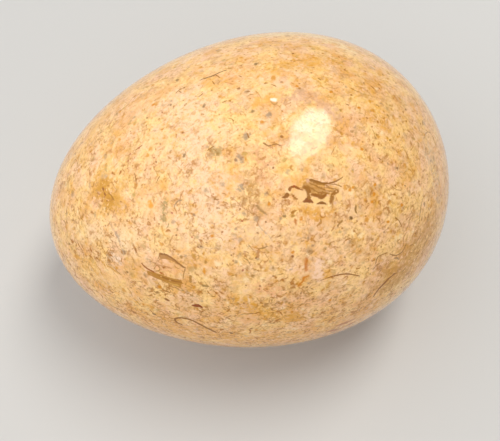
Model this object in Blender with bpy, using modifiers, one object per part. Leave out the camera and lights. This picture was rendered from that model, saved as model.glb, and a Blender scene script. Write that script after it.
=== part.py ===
"""A polished egg of shelly limestone, one solid stone lying on its side.

Metres, +Z up. The stone lies with its long axis along X, narrow end towards -X.
The origin is the middle of the small flat that it rests on.
"""

import math

import bmesh
import bpy
import numpy as np

MM = 0.001

# The egg's outline. With no shift of the bulge it would be an ellipsoid.
LENGTH = 110.0 * MM  # from the blunt end to the narrow end
WIDTH = 85.1 * MM  # across the middle
BULGE_SHIFT = 6.56 * MM  # moves the widest place towards the blunt end

# The stone ground away underneath, so that the egg doesn't roll.
FLAT_DEPTH = 0.8 * MM

# How finely the round surface is cut into facets.
TURNS = 90  # flat faces once round the long axis
RINGS = 46  # rings of faces from one end to the other
SHARP_EDGE = math.radians(7.0)  # the flat's rim is a sharper edge than any other

STONE_COLOUR = (0.76, 0.47, 0.21)  # honey-coloured limestone, linear
STONE_ROUGHNESS = 0.14  # tumbled and polished


def radius_at(place):
    """The egg's radius at places on its long axis, which runs to the narrow end."""
    across = LENGTH**2 - 4.0 * place**2
    along = LENGTH**2 + 8.0 * BULGE_SHIFT * place + 4.0 * BULGE_SHIFT**2
    return WIDTH / 2.0 * np.sqrt(np.maximum(across, 0.0) / along)


def places_along(share):
    """Close places on the long axis, over the middle share of the egg's length."""
    return np.linspace(-0.5, 0.5, 9001) * LENGTH * share


def resting_tilt():
    """The angle at which the loose egg comes to rest, narrow end lower.

    The egg lies where its centre of mass is lowest. There the line from the centre
    of mass to the touching point is at right angles to the surface.
    """
    whole = places_along(1.0)
    slice_area = radius_at(whole) ** 2
    centre = float((whole * slice_area).sum() / slice_area.sum())
    place = places_along(0.9)
    radius = radius_at(place)
    slope = np.gradient(radius, place)
    touching = int(np.argmin(np.abs(place - centre + radius * slope)))
    return math.atan(-slope[touching])


def flat_middle(tilt):
    """The flat's middle, from the egg's own centre: (along X, along Z)."""
    place = places_along(1.0)
    radius = radius_at(place)
    along = -place * math.cos(tilt) + radius * math.sin(tilt)
    height = -place * math.sin(tilt) - radius * math.cos(tilt)
    level = float(height.min()) + FLAT_DEPTH
    cut = along[height < level]
    return float(cut.min() + cut.max()) / 2.0, level


def collection(name):
    """A new collection of the scene."""
    made = bpy.data.collections.new(name)
    bpy.context.scene.collection.children.link(made)
    return made


def stone_material():
    """Shelly limestone, sealed with a glossy polish."""
    material = bpy.data.materials.new("stone")
    material.use_nodes = True
    shader = material.node_tree.nodes["Principled BSDF"]
    shader.inputs["Base Color"].default_value = (*STONE_COLOUR, 1.0)
    shader.inputs["Roughness"].default_value = STONE_ROUGHNESS
    shader.inputs["Metallic"].default_value = 0.0
    return material


def egg_outline():
    """Half of the egg's outline at +X, from the narrow end on top to the blunt end."""
    turn = np.linspace(0.0, math.pi, RINGS + 1)
    place = LENGTH / 2.0 * np.cos(turn)
    radius = radius_at(place)
    mesh = bmesh.new()
    points = [mesh.verts.new((r, 0.0, z)) for r, z in zip(radius, place)]
    for upper, lower in zip(points, points[1:]):
        mesh.edges.new((upper, lower))
    outline = bpy.data.meshes.new("egg")
    mesh.to_mesh(outline)
    mesh.free()
    return outline


def floor_cutter(cutters):
    """A block whose top face is the level that the egg rests on."""
    side = 2.0 * LENGTH
    bpy.ops.mesh.primitive_cube_add(size=side, location=(0.0, 0.0, -side / 2.0))
    block = bpy.context.object
    block.name = "flat_cutter"
    block.hide_render = True
    block.display_type = "WIRE"
    for holder in list(block.users_collection):
        holder.objects.unlink(block)
    cutters.objects.link(block)
    return block


def build_egg(parts, cutters):
    """The egg turned from its outline, laid down, and ground flat underneath."""
    tilt = resting_tilt()
    flat_x, flat_z = flat_middle(tilt)

    egg = bpy.data.objects.new("egg", egg_outline())
    parts.objects.link(egg)
    egg.rotation_euler = (0.0, -math.pi / 2.0 - tilt, 0.0)
    egg.location = (-flat_x, 0.0, -flat_z)

    turned = egg.modifiers.new("turned", "SCREW")
    turned.axis = "Z"
    turned.steps = TURNS
    turned.render_steps = TURNS
    turned.use_merge_vertices = True
    turned.merge_threshold = 0.00001

    ground = egg.modifiers.new("ground flat", "BOOLEAN")
    ground.operation = "DIFFERENCE"
    ground.solver = "EXACT"
    ground.object = floor_cutter(cutters)

    bpy.context.view_layer.update()
    seen = bpy.context.evaluated_depsgraph_get()
    finished = bpy.data.meshes.new_from_object(egg.evaluated_get(seen), depsgraph=seen)
    egg.modifiers.clear()
    egg.data = finished
    finished.name = "egg"
    finished.shade_smooth()
    finished.set_sharp_from_angle(angle=SHARP_EDGE)
    finished.materials.clear()
    finished.materials.append(stone_material())
    return egg


for leftover in list(bpy.data.objects):
    bpy.data.objects.remove(leftover)

build_egg(collection("polished_fossil_egg"), collection("cutters"))
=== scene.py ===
"""A polished egg of shelly limestone, lying on its side on a plain pale floor.

Metres, +Z up. The stone rests at the origin with its narrow end towards -X.
"""

import math

import bpy
import numpy as np
from mathutils import Matrix, Vector
from mathutils.bvhtree import BVHTree


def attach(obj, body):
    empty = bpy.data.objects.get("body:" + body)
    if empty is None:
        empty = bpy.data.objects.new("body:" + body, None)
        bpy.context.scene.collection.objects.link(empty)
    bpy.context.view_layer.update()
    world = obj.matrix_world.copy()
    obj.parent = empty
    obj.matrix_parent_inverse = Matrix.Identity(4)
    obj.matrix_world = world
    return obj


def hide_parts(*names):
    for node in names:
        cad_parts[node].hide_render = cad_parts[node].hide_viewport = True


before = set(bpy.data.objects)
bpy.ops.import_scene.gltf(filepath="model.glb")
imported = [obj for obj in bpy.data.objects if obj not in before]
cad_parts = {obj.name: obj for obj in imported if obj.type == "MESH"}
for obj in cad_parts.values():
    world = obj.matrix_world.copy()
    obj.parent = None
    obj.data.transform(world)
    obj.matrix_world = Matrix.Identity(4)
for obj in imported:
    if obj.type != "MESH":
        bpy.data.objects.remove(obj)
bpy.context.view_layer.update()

# --------------------------------------------------
# The stone's shape. A lump of limestone is sawn, ground to an egg on a lap,
# ground flat in one small place so that it lies still, and tumbled smooth.
# --------------------------------------------------

MM = 0.001

EGG_LENGTH = 110.0 * MM
EGG_WIDTH = 85.1 * MM
BULGE_SHIFT = 6.56 * MM  # the widest place lies this far towards the blunt end
FLAT_DEPTH = 0.8 * MM  # ground away underneath
GRINDING_WAVES = 0.035 * MM  # hand grinding leaves the surface this uneven
MARKED_SIDE = math.radians(128.0)  # the turn round the long axis at which most marks lie
CROWDING = 0.33  # how much closer together the mesh's points stand there


def egg_radius(place):
    """Half the width times the root of (L2 - 4x2) / (L2 + 8wx + 4w2), a pointed ellipse."""
    across = EGG_LENGTH**2 - 4.0 * place**2
    along = EGG_LENGTH**2 + 8.0 * BULGE_SHIFT * place + 4.0 * BULGE_SHIFT**2
    return EGG_WIDTH / 2.0 * np.sqrt(np.maximum(across, 0.0) / along)


def resting_place():
    """(tilt, the egg's centre): lying where the centre of mass is lowest, flat at Z 0.

    The line from the centre of mass to the touching point is square to the surface.
    """
    place = np.linspace(-0.5, 0.5, 9001)[1:-1] * EGG_LENGTH
    radius = egg_radius(place)
    centre = (place * radius**2).sum() / (radius**2).sum()
    slope = np.gradient(radius, place)
    side = np.abs(place) < 0.45 * EGG_LENGTH
    off_square = np.where(side, np.abs(place - centre + radius * slope), np.inf)
    tilt = math.atan(-slope[np.argmin(off_square)])
    along = -place * math.cos(tilt) + radius * math.sin(tilt)
    height = -place * math.sin(tilt) - radius * math.cos(tilt)
    level = height.min() + FLAT_DEPTH
    cut = along[height < level]
    return tilt, np.array([-(cut.min() + cut.max()) / 2.0, 0.0, -level])


EGG_TILT, EGG_CENTRE = resting_place()
EGG_AXIS = np.array([-math.cos(EGG_TILT), 0.0, -math.sin(EGG_TILT)])
EGG_SIDE = np.array([0.0, 1.0, 0.0])
EGG_UPPER = np.cross(EGG_SIDE, EGG_AXIS)


def grinding_waves(turn, share):
    """Slow waves round and along the stone, as a sum of sines that never quite repeat."""
    waves = np.sin(3.0 * turn + 5.0 * share + 0.4)
    waves += 0.7 * np.sin(5.0 * turn - 9.0 * share + 2.1)
    waves += 0.5 * np.sin(8.0 * turn + 13.0 * share + 4.0)
    return waves / 2.2


def egg_mesh(name, rings, turns):
    """The egg as rings of points round its axis, ring by ring from end to end.

    A ring's place along the axis is half the length times the cosine of an angle that
    runs evenly from 0 to 180 degrees, so the rings close up towards both ends. Round a
    ring, a sine added to an even turn draws the points together on the marked side.
    """
    share = np.linspace(0.0, 1.0, rings + 1)[1:-1]
    turn = np.arange(turns) * 2.0 * math.pi / turns
    turn -= CROWDING * np.sin(turn - MARKED_SIDE)
    share, turn = np.meshgrid(share, turn, indexing="ij")
    place = EGG_LENGTH / 2.0 * np.cos(math.pi * share)
    fade = np.sin(math.pi * share)
    radius = egg_radius(place) + GRINDING_WAVES * fade**2 * grinding_waves(turn, share)
    points = (
        EGG_CENTRE
        + place[..., None] * EGG_AXIS
        + (radius * np.cos(turn))[..., None] * EGG_SIDE
        + (radius * np.sin(turn))[..., None] * EGG_UPPER
    ).reshape(-1, 3)
    ends = EGG_CENTRE + EGG_LENGTH / 2.0 * np.array([EGG_AXIS, -EGG_AXIS])
    points = np.vstack([points, ends])
    points[:, 2] = np.maximum(points[:, 2], 0.0)

    here = np.arange((rings - 1) * turns).reshape(rings - 1, turns)
    after = np.roll(here, -1, axis=1)
    quads = np.stack([here[:-1], after[:-1], after[1:], here[1:]], axis=-1).reshape(-1, 4)
    narrow, blunt = len(points) - 2, len(points) - 1
    caps = [(narrow, b, a) for a, b in zip(here[0], after[0])]
    caps += [(blunt, a, b) for a, b in zip(here[-1], after[-1])]
    mesh = bpy.data.meshes.new(name)
    mesh.from_pydata(points.tolist(), [], quads.tolist() + caps)
    mesh.shade_smooth()
    return mesh


egg = bpy.data.objects.new("polished_egg", egg_mesh("polished_egg", rings=260, turns=370))
bpy.context.scene.collection.objects.link(egg)
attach(egg, "root")
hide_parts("egg")

# --------------------------------------------------
# The camera stands above the stone's side and looks down on it.
# --------------------------------------------------

PICTURE_SIZE = Vector((500.0, 441.0))  # pixels
PICTURE_SHIFT = Vector((7.0, -28.7))  # pixels to the right and down
FOCAL_PIXELS = 900.0
SENSOR_WIDTH = 36.0
VIEW_AZIMUTH = math.radians(-8.9)
VIEW_ELEVATION = math.radians(60.0)
VIEW_DISTANCE = 249.0 * MM
VIEW_AIM = Vector((0.16, 0.0, 41.75)) * MM

lens = bpy.data.cameras.new("camera")
camera = bpy.data.objects.new("camera", lens)
bpy.context.scene.collection.objects.link(camera)
bpy.context.scene.camera = camera
lens.sensor_width = SENSOR_WIDTH
lens.lens = SENSOR_WIDTH * FOCAL_PIXELS / PICTURE_SIZE.x
lens.shift_x = -PICTURE_SHIFT.x / PICTURE_SIZE.x
lens.shift_y = PICTURE_SHIFT.y / PICTURE_SIZE.x
lens.clip_start = 0.01
camera.rotation_euler = (math.pi / 2.0 - VIEW_ELEVATION, 0.0, VIEW_AZIMUTH)
view_back = camera.rotation_euler.to_matrix() @ Vector((0.0, 0.0, 1.0))
camera.location = VIEW_AIM + view_back * VIEW_DISTANCE

# --------------------------------------------------
# The rock's mud: fine lime mud, pressed into thin beds and turned to stone. Iron
# has stained it honey, ochre and pink, unevenly, down to the finest grains.
# --------------------------------------------------

BED_NORMAL = Vector((-0.15, -0.50, 0.85)).normalized()  # the beds lie square to this
BED_SQUEEZE = 1.2  # grains are this much thinner across the beds than along them

stone = bpy.data.materials.new("polished shelly limestone")
stone.use_nodes = True
shader = stone.node_tree.nodes["Principled BSDF"]


def add(tree, kind, links=None, **settings):
    """Adds a node: settings are its options, links its inputs, each a value or a socket."""
    node = tree.nodes.new(kind)
    for name, value in settings.items():
        setattr(node, name, value)
    for name, value in (links or {}).items():
        socket = node.inputs[name]
        if isinstance(value, bpy.types.NodeSocket):
            tree.links.new(value, socket)
        else:
            socket.default_value = value
    return node


def linear(code, alpha=1.0):
    """An sRGB hex colour such as #C08040 as a linear colour."""
    parts = [int(code[i : i + 2], 16) / 255.0 for i in (1, 3, 5)]
    parts = [p / 12.92 if p <= 0.04045 else ((p + 0.055) / 1.055) ** 2.4 for p in parts]
    return (*parts, alpha)


def stain(tree, under, over, mask, strength=1.0):
    """Lays one colour over another by a mask, at most as strongly as told."""
    share = add(tree, "ShaderNodeMath", {0: mask, 1: strength}, operation="MULTIPLY").outputs[0]
    return add(tree, "ShaderNodeMix", {0: share, 6: under, 7: over}, data_type="RGBA").outputs[2]


def shifts(tree, place, wavelength, most, detail=2.0):
    """How far noise of this wavelength moves each place to and fro, all in mm."""
    noise = add(
        tree, "ShaderNodeTexNoise", {"Vector": place, "Scale": 1.0 / wavelength, "Detail": detail}
    )
    return add(
        tree,
        "ShaderNodeVectorMath",
        {0: noise.outputs["Color"], 1: (2.0 * most,) * 3, 2: (-most,) * 3},
        operation="MULTIPLY_ADD",
    ).outputs[0]


def clouds(tree, place, size, low, high, seed, detail=3.0, rough=0.6):
    """A soft patchy share from 0 to 1: fractal noise of this size in mm between two levels."""
    noise = add(
        tree,
        "ShaderNodeTexNoise",
        {"Vector": place, "W": seed, "Scale": 1.0 / size, "Detail": detail, "Roughness": rough},
        noise_dimensions="4D",
    )
    return add(
        tree,
        "ShaderNodeMapRange",
        {"Value": noise.outputs[0], "From Min": low, "From Max": high},
        interpolation_type="SMOOTHSTEP",
    ).outputs[0]


rock = stone.node_tree
bed_turn = BED_NORMAL.to_track_quat("Z", "Y").to_euler()
in_beds = add(
    rock,
    "ShaderNodeMapping",
    {
        "Vector": add(rock, "ShaderNodeTexCoord").outputs["Object"],
        "Rotation": bed_turn,
        "Scale": (MM, MM, MM / BED_SQUEEZE),
    },
    vector_type="TEXTURE",
).outputs[0]
waves = shifts(rock, in_beds, 1.6, 0.9, 3.0)
wavy = add(rock, "ShaderNodeVectorMath", {0: in_beds, 1: waves}, operation="ADD").outputs[0]
ripples = shifts(rock, in_beds, 0.8, 0.25, 1.0)
fine = add(rock, "ShaderNodeVectorMath", {0: in_beds, 1: ripples}, operation="ADD").outputs[0]

colour = stain(
    rock,
    linear("#FED088"),
    linear("#F8C99B"),
    clouds(rock, wavy, 5.0, 0.37, 0.63, 1.0, 3.0, 0.60),
)
for code, strength, size, low, high, seed, rough in (
    ("#CC9C60", 0.48, 5.0, 0.47, 0.67, 14.0, 0.90),
    ("#E8A438", 0.72, 5.0, 0.46, 0.68, 3.0, 0.65),
    ("#F2B690", 0.37, 6.0, 0.46, 0.68, 5.0, 0.75),
    ("#C09450", 0.35, 2.5, 0.54, 0.70, 6.0, 0.70),
):
    mask = clouds(rock, wavy, size, low, high, seed, 3.0, rough)
    colour = stain(rock, colour, linear(code), mask, strength)

# --------------------------------------------------
# The stains that tell this stone from another: wide ochre, pink and grey patches
# in its upper face, where iron or clay soaked into the mud. Some along the rims are
# painted light instead: painted shade along the lower edge, and painted reflection
# on the upper and right rims. Each has soft edges and is drawn by how far a place is
# from a line that runs through its middle.
# --------------------------------------------------

surface = BVHTree.FromPolygons(
    [v.co for v in egg.data.vertices],
    [tuple(f.vertices) for f in egg.data.polygons],
)


def seen_at(spot):
    """The place on the stone, and the way out of it, behind a spot of the picture.

    A spot is given in pixels from the picture's top left corner.
    """
    right, down = Vector(spot) - PICTURE_SIZE / 2.0 - PICTURE_SHIFT
    ray = camera.rotation_euler.to_matrix() @ Vector((right, -down, -FOCAL_PIXELS))
    place, normal, _, _ = surface.ray_cast(camera.location, ray.normalized())
    return np.array(place) / MM, np.array(normal)


CURVE_STEPS = 6  # short straight pieces between two spots


def smooth_run(spots):
    """A curve over the stone through the spots, in mm, and the way out of the stone.

    Between two spots it is a Catmull-Rom curve: a cubic that leaves each spot along the
    line between the spots before and after it.
    """
    places, normals = (np.array(side) for side in zip(*map(seen_at, spots)))
    knots = np.vstack([2.0 * places[0] - places[1], places, 2.0 * places[-1] - places[-2]])
    before, start, end, after = (knots[i : len(knots) - 3 + i] for i in range(4))
    step = np.linspace(0.0, 1.0, CURVE_STEPS + 1)[:-1, None, None]
    rise = end - before
    turn = 2.0 * before - 5.0 * start + 4.0 * end - after
    twist = 3.0 * (start - end) + after - before
    curve = start + 0.5 * (step * rise + step**2 * turn + step**3 * twist)
    run = np.vstack([curve.transpose(1, 0, 2).reshape(-1, 3), places[-1:]])
    return run, normals.mean(axis=0)


def from_run(points, run, outward):
    """For each point: how far it is past the run's ends, beside it, and its share along it."""
    starts, ways = run[:-1], np.diff(run, axis=0)
    offsets = points[:, None] - starts
    shares = np.clip((offsets * ways).sum(-1) / (ways**2).sum(-1), 0.0, 1.0)
    gaps = offsets - shares[..., None] * ways
    nearest = np.argmin((gaps**2).sum(-1), axis=1)
    each = np.arange(len(points))
    along = ways[nearest] / np.linalg.norm(ways[nearest], axis=1)[:, None]
    across = np.cross(outward, along)
    gap = gaps[each, nearest]
    share = (nearest + shares[each, nearest]) / len(ways)
    return (gap * along).sum(-1), (gap * across).sum(-1), share


def values_of(collection, name, kind, size=1):
    """One property of every element of a mesh's collection, as an array."""
    values = np.empty(len(collection) * size, kind)
    collection.foreach_get(name, values)
    return values.reshape(-1, size) if size > 1 else values


corner_vertex = values_of(egg.data.loops, "vertex_index", np.int32)
corner_place = values_of(egg.data.vertices, "co", np.float32, 3)[corner_vertex] / MM
corner_count = values_of(egg.data.polygons, "loop_total", np.int32)
corner_face = np.repeat(np.arange(len(corner_count)), corner_count)
face_place = values_of(egg.data.polygons, "center", np.float32, 3) / MM

MARK_REACH = 1.2  # a face is left to a mark up to this many mm outside its soft edge
BLUNTNESS = 6.0  # a blunt end narrows by this much for its length
NO_MARK = -9.0  # the half width given where there is no mark


def lay_marks(layer, marks):
    """Gives every face the mark nearest to it, as attributes for the material to draw.

    A mark is (width, edge, tint, strength, spots), in mm: one width, or three along it,
    and a word more where its ends are cut off square.
    Attribute "place" holds, at each corner of a face, how far the corner is past the ends
    of the mark and beside its middle line, and the mark's half width there. "tint" is
    its colour, and "finish" its edge and its strength, all over the face.
    """
    outside = np.full(len(face_place), MARK_REACH)
    owner = np.full(len(face_place), -1)
    runs = []
    for number, (width, edge, _, _, spots, *_) in enumerate(marks):
        if len(spots) == 1:
            spots = [spots[0], (spots[0][0] + 0.1, spots[0][1])]
        run, outward = smooth_run(spots)
        halves = np.broadcast_to(np.array(width) / 2.0, 3)
        runs.append((run, outward, halves))
        middle = run.mean(axis=0)
        room = np.linalg.norm(run - middle, axis=1).max() + halves.max() + edge + MARK_REACH
        near = np.nonzero(np.linalg.norm(face_place - middle, axis=1) < room)[0]
        past, beside, share = from_run(face_place[near], run, outward)
        gap = np.hypot(past, beside) - np.interp(share, (0.0, 0.5, 1.0), halves) - edge
        nearer = gap < outside[near]
        outside[near[nearer]] = gap[nearer]
        owner[near[nearer]] = number

    place = np.tile((0.0, 0.0, NO_MARK), (len(corner_face), 1))
    tint = np.zeros((len(face_place), 3))
    finish = np.tile((1.0, 0.0, 0.0), (len(face_place), 1))
    for number, (run, outward, halves) in enumerate(runs):
        _, edge, code, strength, _, *ends = marks[number]
        corners = np.nonzero(owner[corner_face] == number)[0]
        if len(corners):
            past, beside, share = from_run(corner_place[corners], run, outward)
            half = np.interp(share, (0.0, 0.5, 1.0), halves)
            if ends:
                half = half - BLUNTNESS * np.abs(past)
            place[corners] = np.stack([past, beside, half], axis=-1)
        tint[owner == number] = linear(code)[:3]
        finish[owner == number] = (edge, strength, 0.0)
    for name, values, domain in (
        ("place", place, "CORNER"),
        ("tint", tint, "FACE"),
        ("finish", finish, "FACE"),
    ):
        attribute = egg.data.attributes.new(f"{layer} {name}", "FLOAT_VECTOR", domain)
        attribute.data.foreach_set("vector", values.astype(np.float32).ravel())


def draw_marks(tree, under, layer, wander, patchy):
    """Draws a layer of marks over a colour: full inside half its width, none outside it.

    Each outline wanders by about as much as its edge is soft, and a weak mark breaks up
    into the patches of the rock that take the stain best.
    """
    place, tint, finish = (
        add(tree, "ShaderNodeAttribute", attribute_name=f"{layer} {name}").outputs["Vector"]
        for name in ("place", "tint", "finish")
    )
    edge, strength, _ = add(tree, "ShaderNodeSeparateXYZ", {0: finish}).outputs
    ragged = add(
        tree, "ShaderNodeVectorMath", {0: wander, "Scale": edge}, operation="SCALE"
    ).outputs[0]
    strayed = add(tree, "ShaderNodeVectorMath", {0: place, 1: ragged}, operation="ADD")
    flat = add(
        tree,
        "ShaderNodeVectorMath",
        {0: strayed.outputs[0], 1: (1.0, 1.0, 0.0)},
        operation="MULTIPLY",
    )
    away = add(tree, "ShaderNodeVectorMath", {0: flat.outputs[0]}, operation="LENGTH")
    half = add(tree, "ShaderNodeSeparateXYZ", {0: place}).outputs[2]
    outside = add(
        tree, "ShaderNodeMath", {0: away.outputs["Value"], 1: half}, operation="SUBTRACT"
    ).outputs[0]
    in_edges = add(tree, "ShaderNodeMath", {0: outside, 1: edge}, operation="DIVIDE").outputs[0]
    shown = add(
        tree,
        "ShaderNodeMapRange",
        {"Value": in_edges, "From Min": 1.0, "From Max": -1.0},
        interpolation_type="SMOOTHSTEP",
    ).outputs[0]
    share = add(tree, "ShaderNodeMath", {0: shown, 1: strength}, operation="MULTIPLY").outputs[0]
    taken = add(tree, "ShaderNodeMath", {0: share, 1: patchy}, operation="ADD").outputs[0]
    # it shows where its share and the rock's patchiness together pass 0.8
    mask = add(
        tree,
        "ShaderNodeMapRange",
        {"Value": taken, "From Min": 0.8, "From Max": 1.5},
        interpolation_type="SMOOTHSTEP",
    ).outputs[0]
    return stain(tree, under, tint, mask, share)


SHADES = {
    "ochre by the narrow end": (5.0, 3.0, "#E6A438", 0.60, [(108, 148), (112, 158)]),
    "ochre round the stain": (8.6, 3.4, "#DEA03A", 0.90, [(100, 186), (114, 200)]),
    "ochre band": (7.0, 4.0, "#E29C2C", 0.50, [(254, 72), (286, 62), (316, 66)]),
    # painted reflection: a pale sheen along the upper edge, where the rim catches light at a
    # grazing angle
    "painted sheen on the upper edge": (5.0, 3.5, "#FCDEA0", 0.84, [(262, 36), (306, 34), (350, 50)]),
    "ochre beside the light": (7.0, 4.0, "#E4A030", 0.50, [(350, 84), (372, 104), (394, 138)]),
    "ochre low left": (5.0, 3.0, "#DC9A20", 0.72, [(80, 258), (98, 276), (122, 288)]),
    "pale low left": (5.0, 3.5, "#FAD8A4", 0.76, [(80, 232), (108, 236), (136, 244)]),
    # partly the stone's ochre, partly painted shade that darkens the low side of the stone
    "ochre and painted shade below": (7.0, 4.0, "#DE9814", 0.74, [(240, 304), (288, 318), (342, 322)]),
    # partly ochre, partly painted shade: a deeper tone along the lower edge stands in for the shade
    # under the rim
    "ochre and painted shade along the lower edge": (
        (9.0, 14.0, 9.0), 9.0, "#E6A02C", 0.76, [(100, 290), (190, 332), (290, 338), (380, 300)],
    ),
    "pale face": (15.0, 7.0, "#F6CEA8", 0.66, [(186, 106), (198, 160), (212, 226)]),
    # painted reflection: a greyer band along the right rim stands in for what the rim reflects
    "painted reflection on the right rim": (5.0, 3.0, "#CBAA88", 0.65, [(428, 150), (438, 200)]),
    # partly ochre, partly painted reflection: the upper left rim's colour is set to the tone its
    # reflection shows
    "ochre and painted reflection on the upper rim": (6.0, 4.0, "#ECB468", 0.82, [(86, 150), (118, 100), (150, 74)]),
    # partly a brown stain, partly painted shade that darkens the lower right rim
    "brown and painted shade on the lower rim": (
        (10.0, 15.0, 10.0), 5.5, "#C08420", 0.75, [(366, 312), (398, 272), (430, 226)],
    ),
    "dusky pink": (5.0, 3.0, "#DCA070", 0.74, [(260, 154), (262, 176)]),
    "lilac above the light": (4.0, 2.5, "#D8A884", 0.80, [(284, 98), (308, 97), (338, 116)]),
    "beige middle": (9.0, 6.0, "#ECC094", 0.70, [(234, 226), (286, 238), (352, 208)]),
    "ochre upper left": (6.0, 4.5, "#E8AC6C", 0.74, [(126, 118), (152, 98), (182, 82)]),
    "dull face": (5.0, 3.0, "#E4BE94", 0.80, [(216, 98), (236, 108)]),
    "pink below the middle": (5.0, 2.2, "#EEA874", 0.60, [(258, 288), (276, 292)]),
}

STAINS = {
    "ochre stain": (5.4, 2.4, "#C6880C", 0.85, [(104, 189), (110, 202)]),
    "ochre under the calcite": ((3.0, 4.5, 3.0), 2.4, "#DE981C", 0.80, [(298, 212), (330, 214)]),
    "pale pink patch": (4.0, 1.4, "#F8CEAC", 0.85, [(319, 264), (319, 273)]),
    "paler pink patch": (3.2, 1.4, "#F8CCA8", 0.70, [(290.6, 268.6)]),
    "brown shade": ((2.5, 4.6, 3.5), 2.2, "#B07E3C", 0.70, [(246, 172), (252, 194), (257, 218)]),
    "pink inside the shell": (5.0, 2.0, "#EEAC78", 0.60, [(160, 268), (172, 272)]),
    "olive patch": (2.2, 0.8, "#9C8448", 0.75, [(165, 203), (163, 220)]),
    "olive patch above": (3.0, 1.4, "#A08444", 0.75, [(212, 151), (217, 152)]),
    "orange grain": (1.3, 0.4, "#F0981C", 0.85, [(149.5, 202), (151, 206)]),
    "pale lilac patch": (2.6, 1.4, "#F4DCC4", 0.65, [(112, 256), (120, 261)]),
}

# --------------------------------------------------
# The sand in the mud: shells broken small by waves, pale, brown, grey and rusty
# grains, and specks of iron and clay. The polish cuts through all of it.
# --------------------------------------------------


def threads(tree, place, size, thick, seed):
    """Thin curling lines: the places where smooth noise passes its middle value."""
    noise = add(
        tree,
        "ShaderNodeTexNoise",
        {"Vector": place, "W": seed, "Scale": 1.0 / size, "Detail": 0.0},
        noise_dimensions="4D",
    )
    off = add(tree, "ShaderNodeMath", {0: noise.outputs[0], 1: 0.5}, operation="SUBTRACT")
    apart = add(tree, "ShaderNodeMath", {0: off.outputs[0]}, operation="ABSOLUTE")
    # the noise climbs by about 0.7 over its size
    half = 0.35 * thick / size
    return add(
        tree,
        "ShaderNodeMapRange",
        {"Value": apart.outputs[0], "From Min": 1.6 * half, "From Max": 0.4 * half},
        interpolation_type="SMOOTHSTEP",
    ).outputs[0]


def cells_of(tree, place, size, seed):
    """One scattered point to a cell: (place in cells, the cells, three random shares)."""
    in_cells = add(
        tree,
        "ShaderNodeVectorMath",
        {0: place, 1: (1.0 / size,) * 3, 2: (seed, 1.7 * seed, -seed)},
        operation="MULTIPLY_ADD",
    ).outputs[0]
    cells = add(tree, "ShaderNodeTexVoronoi", {"Vector": in_cells, "Scale": 1.0})
    chance = add(tree, "ShaderNodeTexWhiteNoise", {"Vector": cells.outputs["Position"]})
    shares = add(tree, "ShaderNodeSeparateColor", {0: chance.outputs["Color"]}).outputs
    return in_cells, cells, shares


def drawn(tree, inside, soft, chance, share):
    """A mask with a soft edge, stronger in some cells than in others, none in most."""
    edge = add(
        tree,
        "ShaderNodeMapRange",
        {"Value": inside, "From Min": -soft, "From Max": soft},
        interpolation_type="SMOOTHSTEP",
    )
    strength = add(
        tree, "ShaderNodeMapRange", {"Value": chance, "From Min": share, "From Max": 0.2 * share}
    )
    return add(
        tree, "ShaderNodeMath", {0: edge.outputs[0], 1: strength.outputs[0]}, operation="MULTIPLY"
    ).outputs[0]


def grains(tree, place, size, share, reach, soft, seed):
    """Round grains in a share of the cells, as a mask. Reach and edge are in cells."""
    _, cells, chance = cells_of(tree, place, size, seed)
    radius = add(
        tree, "ShaderNodeMapRange", {"Value": chance[1], "To Min": 0.4 * reach, "To Max": reach}
    )
    inside = add(
        tree,
        "ShaderNodeMath",
        {0: radius.outputs[0], 1: cells.outputs["Distance"]},
        operation="SUBTRACT",
    )
    return drawn(tree, inside.outputs[0], soft, chance[0], share)


SHELL_EDGE = 0.08  # the soft edge of a broken shell, in mm


def shells(tree, place, size, share, reach, bend, thick, spread, seed):
    """Broken shells cut through: a mask of thin bowed lines.

    Each cell holds one bowl: the places whose height over the bowl's plane is the bend
    times the squared distance from its middle, out to its reach, in cells.
    """
    in_cells, cells, chance = cells_of(tree, place, size, seed)
    from_middle = add(
        tree,
        "ShaderNodeVectorMath",
        {0: in_cells, 1: cells.outputs["Position"]},
        operation="SUBTRACT",
    ).outputs[0]
    lean = add(
        tree,
        "ShaderNodeVectorMath",
        {0: cells.outputs["Color"], 1: (2.0 * spread,) * 3, 2: (-spread, -spread, 1.0 - spread)},
        operation="MULTIPLY_ADD",
    )
    normal = add(tree, "ShaderNodeVectorMath", {0: lean.outputs[0]}, operation="NORMALIZE")
    height = add(
        tree,
        "ShaderNodeVectorMath",
        {0: from_middle, 1: normal.outputs[0]},
        operation="DOT_PRODUCT",
    )
    squared = add(
        tree, "ShaderNodeVectorMath", {0: from_middle, 1: from_middle}, operation="DOT_PRODUCT"
    ).outputs["Value"]
    curve = add(tree, "ShaderNodeMapRange", {"Value": chance[1], "To Min": -bend, "To Max": bend})
    bowl = add(
        tree,
        "ShaderNodeMath",
        {0: squared, 1: curve.outputs[0], 2: height.outputs["Value"]},
        operation="MULTIPLY_ADD",
    )
    off = add(tree, "ShaderNodeMath", {0: bowl.outputs[0]}, operation="ABSOLUTE")
    room = add(
        tree,
        "ShaderNodeMapRange",
        {"Value": squared, "From Min": 0.0, "From Max": reach**2, "To Min": 1.0, "To Max": 0.0},
    )
    taper = add(tree, "ShaderNodeMath", {0: room.outputs[0], 1: 0.5}, operation="POWER")
    soft = SHELL_EDGE / size
    half = add(
        tree,
        "ShaderNodeMath",
        {0: taper.outputs[0], 1: thick / size / 2.0 + soft, 2: -soft},
        operation="MULTIPLY_ADD",
    )
    inside = add(
        tree, "ShaderNodeMath", {0: half.outputs[0], 1: off.outputs[0]}, operation="SUBTRACT"
    )
    return drawn(tree, inside.outputs[0], soft, chance[0], share)


for code, strength, size, low, high, seed, rough in (
    ("#B47420", 0.38, 0.75, 0.54, 0.74, 8.0, 0.6),
    ("#D89C2C", 0.62, 1.40, 0.54, 0.72, 9.0, 0.6),
    ("#AA6A10", 0.40, 0.45, 0.55, 0.72, 10.0, 0.6),
):
    mask = clouds(rock, wavy, size, low, high, seed, 2.0, rough)
    colour = stain(rock, colour, linear(code), mask, strength)

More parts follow.
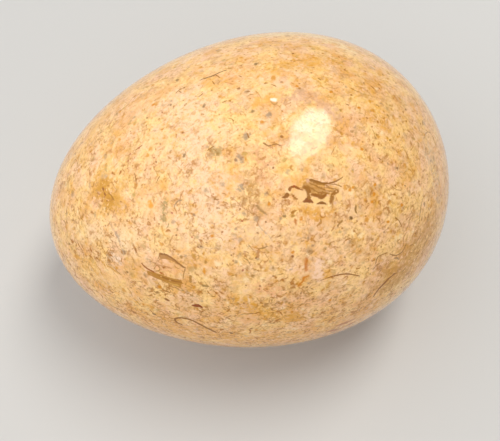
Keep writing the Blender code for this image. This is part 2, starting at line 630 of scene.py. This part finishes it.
for code, strength, size, share, reach, soft, seed in (
    ("#FFE4B4", 0.50, 1.9, 0.20, 0.45, 0.18, 3.0),
    ("#D08A14", 0.78, 1.7, 0.32, 0.40, 0.18, 17.0),
    ("#9A7C58", 0.62, 2.2, 0.20, 0.36, 0.22, 29.0),
    ("#9C7818", 0.60, 1.9, 0.16, 0.32, 0.18, 41.0),
):
    mask = grains(rock, wavy, size, share, reach, soft, seed)
    colour = stain(rock, colour, linear(code), mask, strength)

stain_wander = shifts(rock, in_beds, 2.5, 1.2, 3.0)
stain_patches = clouds(rock, wavy, 0.8, 0.24, 0.66, 61.0)
for layer, marks in (
    ("shades", list(SHADES.values())),
    ("stains", list(STAINS.values())),
):
    lay_marks(layer, marks)
    colour = draw_marks(rock, colour, layer, stain_wander, stain_patches)

# the mud held more shells towards one side, and more in some places than in others
SHELLY_SIDE = Vector((-0.25, -0.80, -0.55)).normalized()
across = add(
    rock,
    "ShaderNodeVectorMath",
    {0: add(rock, "ShaderNodeTexCoord").outputs["Object"], 1: SHELLY_SIDE / MM},
    operation="DOT_PRODUCT",
).outputs["Value"]
shelly = add(
    rock,
    "ShaderNodeMapRange",
    {"Value": across, "From Min": -60.0, "From Max": 12.0, "To Min": 0.38, "To Max": 1.32},
).outputs[0]
crowds = clouds(rock, in_beds, 7.0, 0.30, 0.58, 15.0)
busy = add(rock, "ShaderNodeMath", {0: shelly, 1: crowds}, operation="MULTIPLY").outputs[0]
for code, strength, size, thick, gaps, seed in (
    ("#A66206", 0.75, 1.7, 0.28, 2.0, 11.0),
    ("#AA680A", 0.70, 1.1, 0.24, 1.3, 12.0),
    ("#AE7012", 0.65, 0.8, 0.20, 1.0, 14.0),
    ("#9E6A2A", 0.55, 1.4, 0.24, 2.4, 13.0),
):
    lines = threads(rock, wavy, size, thick, seed)
    broken = clouds(rock, in_beds, gaps, 0.50, 0.64, seed + 10.0)
    left = add(rock, "ShaderNodeMath", {0: broken, 1: busy}, operation="MULTIPLY").outputs[0]
    shown = add(rock, "ShaderNodeMath", {0: lines, 1: left}, operation="MULTIPLY").outputs[0]
    colour = stain(rock, colour, linear(code), shown, strength)

for code, strength, size, share, reach, bend, thick, spread, seed in (
    ("#9C5A04", 0.85, 17.0, 0.08, 0.55, 0.8, 0.42, 0.30, 5.0),
    ("#A25E04", 0.80, 7.0, 0.15, 0.50, 1.0, 0.34, 0.55, 13.0),
    ("#A66204", 0.80, 3.4, 0.34, 0.50, 1.3, 0.30, 0.90, 31.0),
    ("#AA6608", 0.80, 1.9, 0.60, 0.50, 1.3, 0.28, 1.00, 47.0),
):
    mask = shells(rock, fine, size, share, reach, bend, thick, spread, seed)
    shown = add(rock, "ShaderNodeMath", {0: mask, 1: shelly}, operation="MULTIPLY").outputs[0]
    colour = stain(rock, colour, linear(code), shown, strength)

for code, strength, size, share, reach, soft, seed in (
    ("#844800", 0.90, 2.6, 0.16, 0.14, 0.06, 71.0),
    ("#985600", 0.82, 1.5, 0.24, 0.20, 0.09, 83.0),
    ("#AA6A0A", 0.75, 0.95, 0.24, 0.32, 0.16, 87.0),
    ("#8A5818", 0.80, 2.2, 0.16, 0.18, 0.08, 91.0),
    ("#A84006", 0.70, 3.4, 0.10, 0.10, 0.04, 97.0),
):
    mask = grains(rock, fine, size, share, reach, soft, seed)
    colour = stain(rock, colour, linear(code), mask, strength)

# --------------------------------------------------
# The largest shells, the patch of brown calcite and the plainest grains and specks
# in the upper face. They are cut through and lie flush in the polish, like the sand.
# --------------------------------------------------

SHELLS = {
    "thick shell": (
        (1.1, 1.8, 2.5), 0.12, "#B47A28", 0.95,
        [(146.5, 272), (153, 274.5), (160, 277), (167.5, 280), (175, 282.5), (181.5, 284)],
        "blunt",
    ),
    "thick shell's bow": (
        (1.8, 1.2, 0.4), 0.12, "#B0762E", 0.90,
        [(159.5, 256), (163, 256), (167.5, 257), (172, 259), (177, 262.5), (185, 268)],
        "blunt",
    ),
    "upright bar": (0.75, 0.15, "#A8762E", 0.85, [(190.5, 275), (190.5, 283)], "blunt"),
    "crescent": (
        (0.5, 1.3, 0.5), 0.1, "#8C4004", 1.0,
        [(192.5, 305.5), (196, 305.5), (199.5, 306), (202, 307.5)],
    ),
    "calcite": ((2.4, 3.4, 2.8), 0.45, "#B0741A", 0.74, [(307.5, 186), (316, 188), (325, 190.5)]),
    "calcite's thin side": (
        (2.4, 2.6, 1.8), 0.5, "#BA7E28", 0.52, [(324, 189.5), (331, 190.5), (337, 190.5)],
    ),
    "orange stain": (
        (0.6, 0.8, 0.6), 0.45, "#C06C00", 0.95, [(306, 258), (306, 265), (306.5, 271)],
    ),
    "orange stain's hook": (
        (0.5, 0.8, 0.7), 0.3, "#C87600", 0.95, [(308.5, 276), (304, 278), (302, 282), (299, 286)],
    ),
    "lilac streak": (
        (0.3, 0.8, 0.3), 0.5, "#A08A7C", 0.60,
        [(110, 222), (114, 230), (118, 237), (121, 246), (124, 252)],
    ),
    "lilac line": (
        (0.15, 0.5, 0.2), 0.2, "#AE9078", 0.55,
        [(255.5, 219), (260.5, 228), (266, 233.5), (270, 237), (272, 240.5)],
    ),
}


def scattered(width, edge, tint, strength, *spots):
    """Marks of one kind, each at one spot."""
    return [(width, edge, tint, strength, [spot]) for spot in spots]


def streaks(width, edge, tint, strength, *runs):
    """Marks of one kind, each along its own spots."""
    return [(width, edge, tint, strength, list(run)) for run in runs]


GRAINS = [
    # mud that fills the hollows of the calcite, and the clear crystals in it
    (2.9, 0.4, "#EABC80", 0.75, [(300.5, 194.5), (302, 195)]),
    *streaks(
        (1.3, 1.6, 1.2), 0.2, "#F8C47E", 0.95,
        [(315, 200), (317.5, 200.5)], [(326.5, 199), (328.5, 199.5)], [(338, 196), (339.5, 198)],
    ),
    *scattered(0.8, 0.25, "#D8A88A", 0.75, (308, 181), (335, 203)),
    *streaks(
        (0.2, 0.65, 0.2), 0.3, "#E6AA5C", 0.90,
        [(318, 185), (321, 185.5), (325, 186)], [(313.5, 192.5), (316.5, 193), (319, 193)],
        [(329.5, 194.5), (331, 192.5)], [(313, 185.5), (315, 186.5)],
        [(324.5, 188.5), (329, 189.5), (333.5, 190)], [(328, 186.5), (333, 187), (337, 188)],
    ),
    # white shells
    ((0.8, 1.1, 0.7), 0.25, "#FFF0DA", 0.85, [(271.5, 99.5), (275.5, 100)]),
    (0.5, 0.15, "#FFEED2", 0.80, [(264.5, 115.5)]),
    # grey and olive clay
    *scattered(1.7, 0.7, "#8E7C66", 0.72, (269, 115), (241, 188), (240, 159), (246, 136)),
    *scattered(
        1.0, 0.4, "#7A5E2C", 0.80,
        (177, 80), (184, 155), (256, 64), (204, 106), (170, 105), (252, 111), (284, 216),
    ),
    ((0.3, 0.5, 0.3), 0.25, "#F8D8B4", 0.60, [(248, 296), (249.5, 304)]),
    # in the ochre stain
    *streaks(
        (0.35, 0.6, 0.3), 0.15, "#965400", 0.92,
        [(103, 187.5), (103.5, 191)], [(104.5, 192.5), (105.5, 195.5)],
    ),
    *streaks(0.5, 0.2, "#B26E12", 0.85, [(112.5, 172), (114, 174.5)], [(119.5, 173.5), (121, 171)]),
    (0.7, 0.4, "#8C7A4A", 0.65, [(106.5, 166), (106, 171.5)]),
    (1.6, 0.7, "#B09478", 0.55, [(103.5, 175.5), (105.5, 176)]),
    # a rusty bed low on the stone
    *streaks(
        (0.8, 1.7, 0.8), 0.5, "#B06412", 0.92,
        [(326, 332), (335, 330), (344, 327)], [(336, 326), (345, 323), (354, 319)],
        [(346, 326), (354, 322)],
    ),
    # beside the thick shell
    ((0.5, 0.8, 0.6), 0.2, "#B87420", 0.80, [(160, 272.5), (163, 274)]),
    (1.5, 0.5, "#B48C48", 0.62, [(191, 269.5), (194, 269)]),
    (1.1, 0.35, "#B88018", 0.80, [(193, 255.5), (194, 255.5)]),
    (1.15, 0.3, "#CC8000", 0.92, [(159.5, 287)]),
    (0.85, 0.3, "#CC8614", 0.85, [(194, 287)]),
    # grey, brown, ochre and olive grains all over
    *scattered(
        1.3, 0.5, "#927A60", 0.55,
        (223, 185), (206, 191), (266, 194), (244, 214), (256, 219), (124, 252), (424, 123),
        (397, 168), (173, 222), (288, 171), (201, 247), (145, 275), (240, 240), (250, 247),
        (233, 298),
    ),
    *scattered(
        0.8, 0.4, "#8E745A", 0.60,
        (185, 256), (218, 203), (194, 215), (236, 229), (258, 259), (308, 238), (236, 262),
        (241, 254), (150, 262), (202, 301), (246, 336), (230, 138), (385, 148), (388, 164),
        (431, 161), (346, 87), (362, 94), (103, 174), (308, 283), (118, 236), (207, 146),
        (171, 101), (302, 170), (444, 189), (355, 127), (424, 204), (197, 329), (291, 269),
        (313, 246), (281, 219),
    ),
    ((0.6, 0.9, 0.5), 0.3, "#A8742C", 0.70, [(293, 194.5), (295, 198), (298, 199.5)]),
    *scattered(0.9, 0.3, "#64440E", 0.88, (351, 218), (154, 314), (231, 333)),
    ((0.7, 1.1, 0.6), 0.2, "#8E5000", 0.95, [(165.5, 299), (168.5, 300.5)]),
    *streaks(
        (0.3, 0.6, 0.3), 0.3, "#CE8A10", 0.85,
        [(88.5, 261.5), (92, 267), (96, 273)], [(107.5, 265.5), (114, 270), (122, 275)],
        [(99, 258), (103, 263), (106, 268)], [(84, 250), (87, 256)],
        [(96, 264), (100, 270), (103, 276)],
    ),
    *scattered(
        0.9, 0.4, "#927A3E", 0.55,
        (134, 222), (148, 259), (197, 237), (192, 296), (182, 290), (134, 117), (130, 121),
        (93, 146), (101, 131), (117, 114), (124, 108), (106, 168), (192, 270), (353, 170),
        (325, 248), (270, 261), (340, 232), (359, 246),
    ),
    *scattered(
        0.8, 0.25, "#D28206", 0.90,
        (301, 219), (350, 190), (212, 236), (269, 204), (388, 222), (293, 252), (359, 108),
        (362, 149), (374, 194), (372, 202), (375, 185), (402, 205), (353, 187), (143, 304),
        (153, 105), (301, 218), (331, 92), (297, 86), (262, 122), (330, 300), (292, 312),
        (340, 318), (256, 330),
    ),
    ((0.5, 0.8, 0.5), 0.25, "#DA8C04", 0.90, [(204.5, 268.5), (204.5, 273.5)]),
    *scattered(
        0.8, 0.3, "#94680E", 0.70,
        (181, 257), (293, 216), (177, 230), (215, 199), (289, 303), (273, 268), (253, 276),
        (272, 285), (218, 154), (412, 206), (206, 262), (352, 131), (388, 116), (340, 110),
        (286, 302), (372, 240), (330, 244), (225, 300),
    ),
]

LINES = {
    "thick shell's lead": (
        (0.3, 0.5, 0.5), 0.1, "#9A5206", 0.95, [(141.5, 263), (145, 267), (149, 269.5), (154, 272)],
    ),
    "bow's upper edge": (
        (0.5, 0.35, 0.45), 0.12, "#8A5412", 0.85,
        [(160, 254), (163, 254), (167, 255), (171, 257.5), (174, 259.5), (177, 262), (181, 265.5),
         (185, 268)],
    ),
    "bow's cut end": (0.4, 0.2, "#94601A", 0.70, [(159.5, 255), (158.5, 258.5)]),
    "thick shell's dark layer": (
        (0.3, 0.55, 0.3), 0.2, "#8E5408", 0.75,
        [(158, 275), (166, 278.5), (174, 281), (181.5, 282.5)],
    ),
    "thick shell's pale layer": (
        (0.2, 0.6, 0.5), 0.2, "#DCA850", 0.75, [(167, 282), (172.5, 284), (179, 286)],
    ),
    "closing line": (
        0.32, 0.12, "#A06A20", 0.85, [(185, 268.5), (185, 270), (184, 273), (183, 278.5)],
    ),
    "inner line": (0.25, 0.14, "#A67430", 0.75, [(158, 260), (154.5, 265), (153.5, 269)]),
    "small ring": (
        0.32, 0.12, "#A66A1C", 0.80,
        [(154.5, 268.5), (155.5, 266), (158.5, 266), (160, 269), (158.5, 271), (155.5, 271)],
    ),
    "under line": (
        (0.2, 0.4, 0.3), 0.12, "#98691E", 0.80, [(173.5, 287), (177.5, 288.5), (180.5, 290.5)],
    ),
    "hook": (
        (0.5, 0.62, 0.7), 0.12, "#945A00", 1.0,
        [(182.5, 325), (176.5, 322), (175, 319.5), (177.5, 318), (183, 318), (191, 320),
         (199.5, 324), (207, 328), (215.5, 332)],
    ),
    "long arc": (
        (0.2, 0.45, 0.3), 0.1, "#8A5000", 0.90,
        [(320, 280.5), (326, 278.5), (333.5, 276), (344, 274), (352, 274.5), (359.5, 276)],
    ),
    "slanted arc": (
        (0.35, 0.65, 0.35), 0.1, "#8A4C00", 1.0,
        [(396, 273), (390, 277.5), (384.5, 283), (378, 290), (373, 297)],
    ),
    "ring arc": (
        (0.25, 0.4, 0.25), 0.1, "#8E5A14", 0.90,
        [(389.5, 254), (396, 255.5), (402.5, 251.5), (406, 244.5)],
    ),
    "arc over it": (
        (0.25, 0.4, 0.25), 0.1, "#946018", 0.85, [(375.5, 264), (378, 257), (387, 252.5)],
    ),
    "low left arc": (
        (0.2, 0.35, 0.15), 0.1, "#8C5A00", 0.90,
        [(105, 297.5), (112, 306), (122.5, 310.5), (132.5, 319.5)],
    ),
    "calcite top": (
        (0.7, 0.5, 0.25), 0.15, "#8E5A14", 0.95,
        [(310.5, 180), (317, 181.5), (322.5, 183.5), (328, 183.5), (332.5, 182.5), (337.5, 180.5),
         (343, 177)],
    ),
    "calcite side line": (
        (0.25, 0.4, 0.35), 0.15, "#946018", 0.85,
        [(329, 184.5), (334, 184), (338, 185), (341, 186.5)],
    ),
    "calcite column": (
        (0.8, 1.2, 1.0), 0.2, "#945C0C", 0.92,
        [(304, 187), (307.5, 189), (309, 193.5), (308.5, 199)],
    ),
    "calcite foot": (
        (0.3, 1.5, 0.4), 0.15, "#86460A", 0.95, [(303.5, 202), (308, 200), (312.5, 202.5)],
    ),
    "calcite dark fold": (
        (0.3, 0.7, 0.3), 0.25, "#96580C", 0.80, [(317.5, 193), (321, 193), (324.5, 192.5)],
    ),
    "calcite row": (
        (0.7, 1.1, 0.7), 0.25, "#92560A", 0.95,
        [(312, 194.5), (316, 195), (321, 197), (325.5, 195)],
    ),
    "calcite right column": (
        (1.1, 1.0, 0.8), 0.3, "#965E10", 0.90,
        [(336.5, 191.5), (333, 194.5), (332, 198), (331, 202)],
    ),
    "calcite corner": (
        (0.3, 0.7, 0.3), 0.2, "#8C560E", 0.85, [(335, 193), (337, 192), (338.5, 190)],
    ),
    "calcite arch": (
        (0.7, 0.65, 0.4), 0.15, "#92520A", 0.95,
        [(289.5, 190), (290.5, 187.5), (295, 186.5), (298, 188.5), (302.5, 189.5)],
    ),
    "calcite tip": ((0.1, 0.8, 1.1), 0.15, "#8E5406", 0.95, [(281, 197.5), (285, 197), (287, 195)]),
    "calcite lens": (
        (0.3, 0.9, 0.3), 0.15, "#844E08", 0.95, [(317, 204), (321.5, 203), (326, 204)],
    ),
    "wedge line": ((0.6, 0.8, 0.2), 0.25, "#98703A", 0.75, [(257, 206), (261, 210), (267, 214.5)]),
    "rod": ((0.7, 0.6, 0.3), 0.2, "#A4680A", 0.90, [(292.5, 213), (294, 211.5), (296, 210.5)]),
    "orange tail": ((0.5, 0.6, 0.3), 0.2, "#BC6A10", 0.80, [(295, 219.5), (296, 224.5)]),
    "bow below the calcite": (
        (0.4, 0.7, 0.4), 0.15, "#B07418", 0.80,
        [(320.5, 219), (321, 221.5), (319.5, 224), (317, 226)],
    ),
    "thin bow": ((0.6, 0.4, 0.55), 0.15, "#98681E", 0.85, [(342, 221), (339.5, 223.5), (338, 226)]),
    "short bow": ((0.2, 0.4, 0.2), 0.1, "#8C6424", 0.80, [(258, 248.5), (263, 248), (268, 246)]),
    "reddish bow": (
        (0.2, 0.35, 0.25), 0.12, "#9A5428", 0.70, [(243.5, 251.5), (247, 252), (249, 253.5)],
    ),
    "drooping bow": (
        (0.2, 0.3, 0.2), 0.12, "#9A7034", 0.65,
        [(243, 257.5), (246, 259), (249, 262), (250.5, 266)],
    ),
    "oval ring": (
        0.3, 0.1, "#986A2C", 0.75,
        [(309, 253.5), (309.5, 250.5), (312.5, 250), (313, 252), (311, 254)],
    ),
    "olive dash": (
        (0.9, 0.6, 0.2), 0.2, "#86642A", 0.80, [(203, 285.5), (205.5, 286), (210, 286.5)],
    ),
    "grey bow": (
        (0.2, 0.4, 0.5), 0.15, "#947650", 0.75,
        [(174, 208), (175.5, 203.5), (178.5, 201), (182.5, 199.5)],
    ),
    "rod by the olive patch": (
        (0.15, 0.35, 0.3), 0.1, "#96783A", 0.75, [(166, 228.5), (168, 226.5), (168.5, 223.5)],
    ),
    "dark smudge": ((0.3, 0.45, 0.2), 0.15, "#7E6040", 0.75, [(216.5, 208), (219.5, 208.5)]),
    "bow low in the middle": (
        (0.2, 0.35, 0.5), 0.12, "#8C5E24", 0.75,
        [(239, 315.5), (243, 314), (247.5, 314), (252, 313.5)],
    ),
    "ring under the white shell": (
        0.3, 0.15, "#A87C40", 0.70, [(270.5, 101), (272, 103.5), (275, 104.5), (277.5, 102.5)],
    ),
    "fishbone": (
        (0.3, 0.45, 0.3), 0.12, "#6E4C1C", 0.90,
        [(200.5, 80), (206, 78), (213.5, 75.5), (217, 73.5), (226.5, 70)],
    ),
    "wave": (
        (0.5, 0.3, 0.3), 0.12, "#8A5A1C", 0.80,
        [(263.5, 143), (269, 146), (275, 144), (281.5, 146)],
    ),
    "loop": (
        0.3, 0.12, "#966630", 0.70,
        [(424.5, 138), (426, 133), (429, 132), (432.5, 136), (435, 143.5), (434.5, 147)],
    ),
    "upright line by the right rim": (
        (0.2, 0.35, 0.2), 0.12, "#8E601C", 0.80, [(423.5, 196), (421, 206), (420, 214), (419, 223)],
    ),
    "grey dash": ((0.3, 0.5, 0.3), 0.15, "#84684A", 0.80, [(393.5, 259), (397, 258), (399, 259)]),
    "line through the ochre stain": (
        (0.2, 0.45, 0.35), 0.12, "#A06A06", 0.90, [(108, 192.5), (111.5, 196), (114, 200)],
    ),
    "dark olive bow": (
        (0.4, 0.65, 0.4), 0.12, "#8A6018", 0.85, [(356, 205.5), (355.5, 209.5), (356.5, 213)],
    ),
}

DASHES = [
    # layers in the calcite
    *streaks(
        (0.3, 0.45, 0.25), 0.2, "#96600E", 0.80,
        [(309.5, 183), (315, 185.5), (321, 188.5), (328.5, 191.5)],
        [(306.5, 185.5), (312.5, 189), (317, 192), (322, 195)],
        [(311.5, 182), (318, 184), (324, 185), (330, 187.5)],
        [(322, 191.5), (326.5, 193.5), (330.5, 193)], [(293, 195.5), (296.5, 199)],
        [(325, 187), (331, 188.5), (336.5, 189)], [(326, 190.5), (330, 191.5), (334.5, 191)],
    ),
    # thin shells seen edge on, and thinner ones
    *streaks(
        0.3, 0.1, "#945E0C", 0.85,
        [(133.5, 298), (136.5, 301), (140, 305)], [(154.5, 300), (158, 300.5)],
        [(226, 317.5), (229, 318)], [(134.5, 173), (136.5, 181.5)], [(185, 212), (185, 216.5)],
        [(276.5, 237.5), (280.5, 235.5)], [(309.5, 287.5), (313.5, 289.5)],
        [(135.5, 248.5), (136, 253)], [(212, 296.5), (214.5, 296.5)], [(135, 150.5), (142.5, 145)],
        [(159.5, 176.5), (156, 183)], [(207, 150.5), (213.5, 146.5)], [(351.5, 88.5), (355, 90)],
        [(375.5, 104.5), (378, 105.5)], [(378.5, 158), (380.5, 159.5)], [(387, 73), (390, 74.5)],
        [(422.5, 120.5), (423, 125)], [(424, 202), (425, 206.5)], [(371, 86), (374, 88.5)],
        [(346, 104), (349, 105)], [(318, 78), (321, 80.5)], [(301, 241.5), (303.5, 240.5)],
        [(373, 269.5), (376.5, 265.5), (380, 263)], [(214.5, 199), (219.5, 199.5)],
        [(240.5, 221), (243.5, 222)], [(176, 93), (180, 89.5), (185, 87)],
        [(212.5, 81.5), (214.5, 84.5)], [(216, 75), (219.5, 77.5)], [(238.5, 75.5), (241.5, 77)],
        [(222, 102.5), (227.5, 100.5)], [(231, 118), (235, 122.5)], [(177.5, 90.5), (181.5, 92.5)],
        [(244.5, 92), (250, 91)], [(264, 84), (268.5, 82.5)], [(271, 84), (276, 86.5)],
        [(247, 133), (249, 138)], [(198.5, 97), (203, 93.5)],
        [(395.5, 218), (399, 220.5), (401.5, 226)], [(410, 246), (413, 244)],
        [(418, 240), (421, 234)], [(424, 246), (427, 240)], [(414, 262), (418, 256)],
        [(402, 272), (406, 267)], [(427, 222), (429, 214)], [(404, 286), (408, 281)],
    ),
    *streaks(
        (0.2, 0.35, 0.2), 0.2, "#D07848", 0.60,
        [(208, 110), (216, 112)], [(226, 111), (236, 109)], [(213, 104), (218, 103.5)],
    ),
    *streaks(
        (0.15, 0.3, 0.15), 0.12, "#A06A1C", 0.75,
        [(145.5, 297), (150, 299.5)], [(113.5, 266.5), (117.5, 271.5), (122.5, 275.5)],
        [(349, 49.5), (352, 50)], [(222, 193.5), (224.5, 193.5), (227, 195.5)],
        [(223, 201), (227.5, 203.5)], [(221, 307), (227, 308), (231, 312.5)],
        [(220, 322), (224, 323), (229, 325)], [(378, 218), (381, 224)], [(212, 148), (217.5, 152)],
        [(350, 88), (355, 90.5), (362, 93)], [(243.5, 229), (245, 230.5), (244, 232.5)],
        [(251, 269), (254, 269), (258.5, 271)], [(230, 276.5), (236.5, 274.5)],
        [(274, 275.5), (280, 274.5), (285.5, 273)], [(137, 281), (144.5, 282.5)],
        [(211.5, 266.5), (213, 268), (212.5, 269.5)],
        [(197.5, 254.5), (199.5, 256.5), (198, 258.5)], [(221, 260.5), (222.5, 263), (221.5, 265)],
        [(178, 329), (182, 331)], [(199.5, 336), (203.5, 338)], [(204, 340.5), (208, 341.5)],
        [(227.5, 118), (232.5, 119.5), (233.5, 124.5)],
        [(410.5, 208), (412.5, 205.5), (414.5, 208)],
        [(330, 333), (338, 331.5), (347, 328), (356, 324)],
        [(390, 290.5), (391.5, 292), (393.5, 291)], [(340, 286), (347, 284.5), (353, 285.5)],
        [(269, 309), (275, 307.5), (282, 309)], [(300, 328), (307, 326), (315, 326.5)],
        [(404, 232), (408, 226), (409.5, 219)], [(361, 302), (367, 297), (371.5, 290.5)],
        [(160, 309), (166, 311.5), (171, 315.5)], [(127, 288), (131, 292.5), (132.5, 297)],
        [(93, 276), (97.5, 282), (99, 289)], [(246, 97), (250, 94.5), (255, 94.5)],
        [(293, 62), (298, 60.5), (304, 61)], [(331, 155), (335.5, 146)],
        [(371, 128), (374, 132.5), (374.5, 137)], [(392, 186), (396, 189.5), (401, 190.5)],
    ),
]

SPECKS = [
    # dark iron, brown iron and rust
    *scattered(
        0.42, 0.15, "#7C4400", 0.92,
        (198, 247), (290, 292), (301, 293), (313, 299), (378, 281), (268, 165), (364, 83),
        (273, 276), (103, 189), (164, 215), (155, 235), (176, 235), (137, 292), (147, 118),
        (186, 104), (133, 118), (80, 275), (244, 303), (273, 168), (342, 265), (370, 274),
        (384, 232), (231, 255), (256, 258), (390, 140), (401, 198), (405, 186), (397, 168),
        (372, 282), (345, 257), (260, 286), (156, 162), (201, 246), (266, 222), (307, 287),
    ),
    *scattered(
        0.5, 0.2, "#A05A00", 0.85,
        (159, 224), (132, 218), (174, 249), (213, 194), (222, 232), (235, 248), (233, 261),
        (247, 270), (246, 285), (284, 290), (259, 289), (174, 296), (351, 95), (367, 118),
        (378, 122), (379, 88), (396, 83), (417, 114), (399, 134), (406, 121), (423, 171),
        (434, 177), (424, 196), (395, 186), (428, 217), (365, 213), (366, 216), (365, 224),
        (379, 219), (419, 223), (185, 105), (174, 106), (373, 144), (403, 112), (293, 196),
        (297, 199), (107, 201), (112, 173), (121, 172), (102, 201), (145, 170), (217, 331),
        (222, 332), (104, 197), (108, 186), (99, 194),
    ),
    *scattered(
        0.42, 0.12, "#A83808", 0.85,
        (236, 340), (154, 158), (130, 154), (192, 237), (161, 273), (294, 186), (139, 148),
        (242, 221), (243, 270), (172, 213), (128, 161),
    ),
]

mark_wander = shifts(rock, in_beds, 0.9, 1.3, 2.0)
grainy = clouds(rock, fine, 0.7, 0.20, 0.55, 62.0)
for layer, marks in (
    ("shells", list(SHELLS.values())),
    ("grains", GRAINS),
    ("lines", list(LINES.values())),
    ("dashes", DASHES),
    ("specks", SPECKS),
):
    lay_marks(layer, marks)
    colour = draw_marks(rock, colour, layer, mark_wander, grainy)

rock.links.new(colour, shader.inputs["Base Color"])

# the last polish leaves the softer mud a touch duller, and a hair lower, than the shells
HOLLOW_DEPTH = 0.004 * MM
worn = clouds(rock, wavy, 1.2, 0.30, 0.70, 81.0)
dullness = add(rock, "ShaderNodeMapRange", {"Value": worn, "To Min": 0.10, "To Max": 0.15})
rock.links.new(dullness.outputs[0], shader.inputs["Roughness"])
hollows = add(
    rock, "ShaderNodeBump", {"Strength": 1.0, "Distance": HOLLOW_DEPTH, "Height": worn}, invert=True
)
rock.links.new(hollows.outputs[0], shader.inputs["Normal"])
shader.inputs["IOR"].default_value = 1.45
egg.data.materials.append(stone)

# --------------------------------------------------
# The plain pale floor, and soft studio light: one softbox overhead, and a pale
# room that is brighter on the left.
# --------------------------------------------------

FLOOR_SIZE = 8.0
bpy.ops.mesh.primitive_plane_add(size=FLOOR_SIZE)
floor = bpy.context.object
floor.name = "floor"
paper = bpy.data.materials.new("matt pale paper")
paper.use_nodes = True
paper_shader = paper.node_tree.nodes["Principled BSDF"]
paper_shader.inputs["Base Color"].default_value = linear("#C9C7C4")
paper_shader.inputs["Roughness"].default_value = 0.9
floor.data.materials.append(paper)

SOFTBOX_TOWARDS = Vector((0.275, 0.088, 0.957)).normalized()
SOFTBOX_DISTANCE = 1.0
SOFTBOX_SIZE = (0.32, 0.69)
SOFTBOX_TURN = math.radians(-23.0)  # its long side, from +Y towards +X
SOFTBOX_RADIANCE = 10.6

box_long = Vector((-math.sin(SOFTBOX_TURN), math.cos(SOFTBOX_TURN), 0.0))
box_long = (box_long - box_long.dot(SOFTBOX_TOWARDS) * SOFTBOX_TOWARDS).normalized()
box_short = box_long.cross(SOFTBOX_TOWARDS)
softbox_light = bpy.data.lights.new("softbox", "AREA")
softbox_light.shape = "ELLIPSE"
softbox_light.size, softbox_light.size_y = SOFTBOX_SIZE
softbox_area = math.pi / 4.0 * SOFTBOX_SIZE[0] * SOFTBOX_SIZE[1]
softbox_light.energy = SOFTBOX_RADIANCE * math.pi * softbox_area
softbox_light.color = (1.0, 0.98, 0.93)
softbox = bpy.data.objects.new("softbox", softbox_light)
bpy.context.scene.collection.objects.link(softbox)
softbox.matrix_world = Matrix((box_short, box_long, SOFTBOX_TOWARDS)).transposed().to_4x4()
softbox.location = VIEW_AIM + SOFTBOX_TOWARDS * SOFTBOX_DISTANCE

ROOM_LEVEL = 0.735
ROOM_SLOPE = 0.76
ROOM_BRIGHT_SIDE = Vector((-0.94, -0.33, 0.05)).normalized()

room = bpy.data.worlds.new("pale room")
room.use_nodes = True
air = room.node_tree
towards = add(air, "ShaderNodeTexCoord").outputs["Generated"]
side = add(
    air, "ShaderNodeVectorMath", {0: towards, 1: ROOM_BRIGHT_SIDE}, operation="DOT_PRODUCT"
).outputs["Value"]
level = add(
    air, "ShaderNodeMath", {0: side, 1: ROOM_SLOPE, 2: ROOM_LEVEL}, operation="MULTIPLY_ADD"
).outputs[0]
air.links.new(level, air.nodes["Background"].inputs["Strength"])
air.nodes["Background"].inputs["Color"].default_value = (0.96, 0.98, 1.0, 1.0)
bpy.context.scene.world = room
bpy.context.scene.view_settings.view_transform = "Standard"
